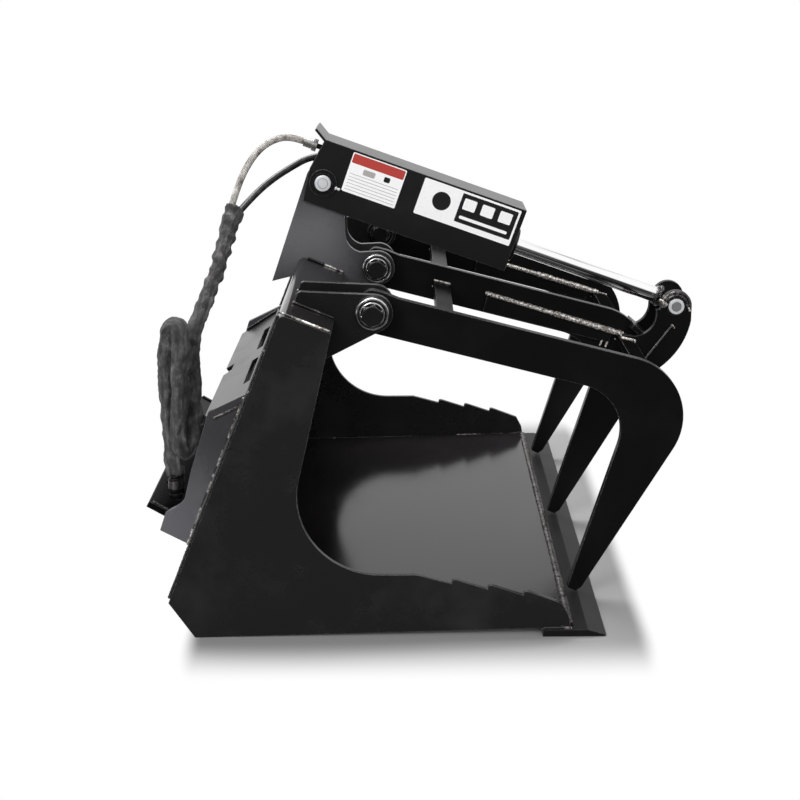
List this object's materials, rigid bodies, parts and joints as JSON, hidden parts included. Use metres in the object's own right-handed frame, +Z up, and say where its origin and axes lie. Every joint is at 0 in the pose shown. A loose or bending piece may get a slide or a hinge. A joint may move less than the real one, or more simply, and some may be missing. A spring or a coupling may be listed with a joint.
{
  "type": "grapple bucket",
  "caption": "Plate bucket with saw-toothed sides and a three-tine jaw that a guarded hydraulic cylinder swings down on the cutting edge.",
  "frame": {"origin": "centre of the bounding box at ground level, without the hoses", "axes": "+X forward to the cutting edge, +Y to the far side, +Z up"},
  "size_m": [1.0442, 1.083, 0.8237],
  "materials": {
    "gloss_black_paint": "gloss black enamel",
    "edge_paint": "black enamel worn at the edge",
    "zinc": "zinc plated",
    "black_bolt": "painted over fastener",
    "chrome": "polished chrome",
    "steel": "machined",
    "braid_hose": "weathered grey hose",
    "black_hose": "smooth black hose",
    "sleeve_fabric": "woven nylon sleeve"
  },
  "bodies": {
    "bucket": {"bucket_shell": "gloss_black_paint", "near_side_plate": "gloss_black_paint", "far_side_plate": "gloss_black_paint", "cutting_edge": "edge_paint", "mount_top_plate": "gloss_black_paint", "mount_bottom_flange": "gloss_black_paint", "mount_near_gusset": "gloss_black_paint", "mount_far_gusset": "gloss_black_paint", "near_bracket_outer": "gloss_black_paint", "near_bracket_inner": "gloss_black_paint", "far_bracket_inner": "gloss_black_paint", "far_bracket_outer": "gloss_black_paint", "near_tower": "gloss_black_paint", "far_tower": "gloss_black_paint", "tower_spacer": "gloss_black_paint", "pivot_bosses": "gloss_black_paint", "pivot_washers": "black_bolt", "pivot_nuts": "black_bolt", "near_pivot_bolt": "black_bolt", "centre_pivot_bolt": "black_bolt", "far_pivot_bolt": "black_bolt", "base_pin": "zinc", "upper_hose": "braid_hose", "lower_hose": "black_hose", "hose_sleeve": "sleeve_fabric", "hose_hank": "sleeve_fabric", "hose_couplers": "steel"},
    "jaw": {"near_tine": "gloss_black_paint", "centre_tine": "gloss_black_paint", "far_tine": "gloss_black_paint", "tine_bushes": "steel", "rear_cross_bar": "gloss_black_paint", "front_cross_bar": "gloss_black_paint", "tine_doublers": "gloss_black_paint", "near_lug": "gloss_black_paint", "far_lug": "gloss_black_paint", "lug_bridge": "gloss_black_paint", "rod_pin": "zinc"},
    "cylinder": {"cylinder_barrel": "gloss_black_paint", "cylinder_base_tube": "steel", "cylinder_gland": "gloss_black_paint", "rod_port_line": "steel", "upper_fitting": "zinc", "base_elbow": "zinc", "guard_shell": "gloss_black_paint", "guard_end_plate": "gloss_black_paint", "guard_bosses": "gloss_black_paint"},
    "rod": {"cylinder_rod": "chrome", "cylinder_piston": "steel", "rod_end_tube": "gloss_black_paint"}
  },
  "joints": [
    {"name": "jaw_hinge", "type": "hinge", "parent": "bucket", "child": "jaw", "pos_m": [-0.09685, 0, 0.553], "axis": [0, -1, 0], "range_deg": [0, 45]},
    {"name": "cylinder_pivot", "type": "hinge", "parent": "bucket", "child": "cylinder", "pos_m": [-0.19685, 0, 0.721], "axis": [0, -1, 0], "range_deg": [0, 38], "deforming": ["upper_hose", "lower_hose"]},
    {"name": "rod_slide", "type": "slide", "parent": "cylinder", "child": "rod", "axis": [0.9394, 0, -0.3427], "range_m": [-0.1235, 0]}
  ],
  "couplings": [
    {"joint": "cylinder_pivot", "follows": "jaw_hinge", "ratio": 0.8377},
    {"joint": "rod_slide", "follows": "jaw_hinge", "m_per_rad": -0.15674}
  ]
}
